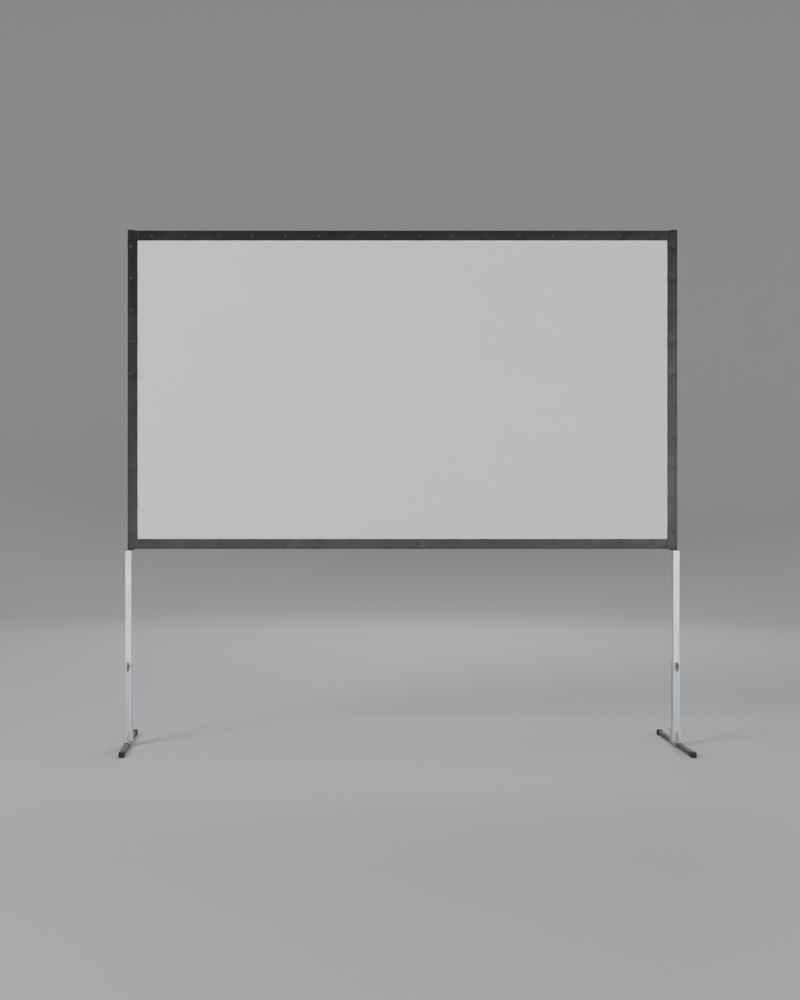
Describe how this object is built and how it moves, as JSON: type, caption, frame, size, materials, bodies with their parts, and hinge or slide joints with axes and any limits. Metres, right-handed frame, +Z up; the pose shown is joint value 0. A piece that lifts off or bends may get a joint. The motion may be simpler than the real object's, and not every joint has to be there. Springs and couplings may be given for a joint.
{
  "type": "fast-fold projection screen",
  "caption": "Free-standing projection screen: a black-bordered surface snapped on a folding tube frame, on two height-adjustable T legs.",
  "frame": {"origin": "on the floor, in the middle between the two feet", "axes": "+X along the screen to the right seen from its front, +Y backwards from the surface, +Z up; the surface faces -Y"},
  "size_m": [2.7836, 0.674, 2.5796],
  "materials": {
    "surface": "matte white projection sheet",
    "border": "black coated webbing with a soft sheen",
    "aluminium_tube": "satin anodised extrusion",
    "plated_steel": "bright zinc plated",
    "pin_steel": "turned steel",
    "charcoal_paint": "satin charcoal powder coat",
    "black_plastic": "moulded black plastic",
    "knob_plastic": "moulded black plastic",
    "black_rubber": "moulded black rubber"
  },
  "bodies": {
    "left_foot": {"left_foot_tube": "charcoal_paint", "left_front_foot_cap": "black_rubber", "left_rear_foot_cap": "black_rubber", "left_front_foot_bolt": "pin_steel", "left_rear_foot_bolt": "pin_steel", "left_foot_socket": "plated_steel", "left_lower_leg": "aluminium_tube"},
    "left_height_knob": {"left_height_knob": "knob_plastic"},
    "left_side": {"left_side_tube": "aluminium_tube", "left_top_plug": "black_plastic", "left_bottom_plug": "black_plastic", "left_leg_cap": "black_plastic", "left_upper_leg": "aluminium_tube", "left_leg_bracket": "charcoal_paint", "left_bracket_bolt_1": "pin_steel", "left_bracket_bolt_2": "pin_steel", "left_border": "border", "top_left_corner_pin": "pin_steel", "bottom_left_corner_pin": "pin_steel", "projection_surface": "surface", "top_border": "border", "bottom_border": "border"},
    "left_clamp_knob_1": {"left_clamp_knob_1": "knob_plastic"},
    "left_clamp_knob_2": {"left_clamp_knob_2": "knob_plastic"},
    "top_1": {"top_rail_1": "aluminium_tube", "top_hinge_pin_1": "pin_steel"},
    "top_2": {"top_rail_2": "aluminium_tube", "top_hinge_pin_2": "pin_steel"},
    "top_3": {"top_rail_3": "aluminium_tube", "top_hinge_pin_3": "pin_steel"},
    "top_4": {"top_rail_4": "aluminium_tube"},
    "bottom_1": {"bottom_rail_1": "aluminium_tube", "bottom_hinge_pin_1": "pin_steel"},
    "bottom_2": {"bottom_rail_2": "aluminium_tube", "bottom_hinge_pin_2": "pin_steel"},
    "bottom_3": {"bottom_rail_3": "aluminium_tube", "bottom_hinge_pin_3": "pin_steel"},
    "bottom_4": {"bottom_rail_4": "aluminium_tube"},
    "right_side": {"right_side_tube": "aluminium_tube", "right_top_plug": "black_plastic", "right_bottom_plug": "black_plastic", "right_leg_cap": "black_plastic", "right_upper_leg": "aluminium_tube", "right_leg_bracket": "charcoal_paint", "right_bracket_bolt_1": "pin_steel", "right_bracket_bolt_2": "pin_steel", "right_border": "border", "top_right_corner_pin": "pin_steel", "bottom_right_corner_pin": "pin_steel"},
    "right_clamp_knob_1": {"right_clamp_knob_1": "knob_plastic"},
    "right_clamp_knob_2": {"right_clamp_knob_2": "knob_plastic"},
    "right_foot": {"right_foot_tube": "charcoal_paint", "right_front_foot_cap": "black_rubber", "right_rear_foot_cap": "black_rubber", "right_front_foot_bolt": "pin_steel", "right_rear_foot_bolt": "pin_steel", "right_foot_socket": "plated_steel", "right_lower_leg": "aluminium_tube"},
    "right_height_knob": {"right_height_knob": "knob_plastic"}
  },
  "joints": [
    {"name": "height", "type": "slide", "parent": "left_foot", "child": "left_side", "axis": [0, 0, 1], "range_m": [0, 0.28]},
    {"name": "right_height", "type": "slide", "parent": "right_side", "child": "right_foot", "axis": [0, 0, -1], "range_m": [0, 0.28]},
    {"name": "frame_fold", "type": "hinge", "parent": "left_side", "child": "top_1", "pos_m": [-1.33465, 0, 2.52655], "axis": [0, 1, 0], "range_deg": [0, 90], "deforming": ["projection_surface", "top_border", "bottom_border"]},
    {"name": "top_hinge_1", "type": "hinge", "parent": "top_1", "child": "top_2", "pos_m": [-0.66732, 0, 2.5669], "axis": [0, -1, 0], "range_deg": [0, 180]},
    {"name": "top_hinge_2", "type": "hinge", "parent": "top_2", "child": "top_3", "pos_m": [0, 0, 2.52655], "axis": [0, 1, 0], "range_deg": [0, 180]},
    {"name": "top_hinge_3", "type": "hinge", "parent": "top_3", "child": "top_4", "pos_m": [0.66732, 0, 2.5669], "axis": [0, -1, 0], "range_deg": [0, 180]},
    {"name": "top_right_corner", "type": "hinge", "parent": "top_4", "child": "right_side", "pos_m": [1.33465, 0, 2.52655], "axis": [0, 1, 0], "range_deg": [0, 90]},
    {"name": "bottom_left_corner", "type": "hinge", "parent": "left_side", "child": "bottom_1", "pos_m": [-1.33465, 0, 1.03305], "axis": [0, -1, 0], "range_deg": [0, 90]},
    {"name": "bottom_hinge_1", "type": "hinge", "parent": "bottom_1", "child": "bottom_2", "pos_m": [-0.66732, 0, 0.9927], "axis": [0, 1, 0], "range_deg": [0, 180]},
    {"name": "bottom_hinge_2", "type": "hinge", "parent": "bottom_2", "child": "bottom_3", "pos_m": [0, 0, 1.03305], "axis": [0, -1, 0], "range_deg": [0, 180]},
    {"name": "bottom_hinge_3", "type": "hinge", "parent": "bottom_3", "child": "bottom_4", "pos_m": [0.66732, 0, 0.9927], "axis": [0, 1, 0], "range_deg": [0, 180]},
    {"name": "left_height_knob_turn", "type": "hinge", "parent": "left_foot", "child": "left_height_knob", "pos_m": [-1.3688, -0.02, 0.3989], "axis": [0, -1, 0], "range_deg": [0, 270]},
    {"name": "right_height_knob_turn", "type": "hinge", "parent": "right_foot", "child": "right_height_knob", "pos_m": [1.3688, -0.02, 0.3989], "axis": [0, -1, 0], "range_deg": [0, 270]},
    {"name": "left_clamp_knob_1_turn", "type": "hinge", "parent": "left_side", "child": "left_clamp_knob_1", "pos_m": [-1.35482, 0.01617, 1.065], "axis": [0, 1, 0], "range_deg": [0, 270]},
    {"name": "left_clamp_knob_2_turn", "type": "hinge", "parent": "left_side", "child": "left_clamp_knob_2", "pos_m": [-1.35482, 0.01617, 1.245], "axis": [0, 1, 0], "range_deg": [0, 270]},
    {"name": "right_clamp_knob_1_turn", "type": "hinge", "parent": "right_side", "child": "right_clamp_knob_1", "pos_m": [1.35482, 0.01617, 1.065], "axis": [0, 1, 0], "range_deg": [0, 270]},
    {"name": "right_clamp_knob_2_turn", "type": "hinge", "parent": "right_side", "child": "right_clamp_knob_2", "pos_m": [1.35482, 0.01617, 1.245], "axis": [0, 1, 0], "range_deg": [0, 270]}
  ],
  "couplings": [
    {"joint": "right_height", "follows": "height", "ratio": 1},
    {"joint": "top_hinge_1", "follows": "frame_fold", "ratio": 2},
    {"joint": "top_hinge_2", "follows": "frame_fold", "ratio": 2},
    {"joint": "top_hinge_3", "follows": "frame_fold", "ratio": 2},
    {"joint": "top_right_corner", "follows": "frame_fold", "ratio": 1},
    {"joint": "bottom_left_corner", "follows": "frame_fold", "ratio": 1},
    {"joint": "bottom_hinge_1", "follows": "frame_fold", "ratio": 2},
    {"joint": "bottom_hinge_2", "follows": "frame_fold", "ratio": 2},
    {"joint": "bottom_hinge_3", "follows": "frame_fold", "ratio": 2}
  ]
}
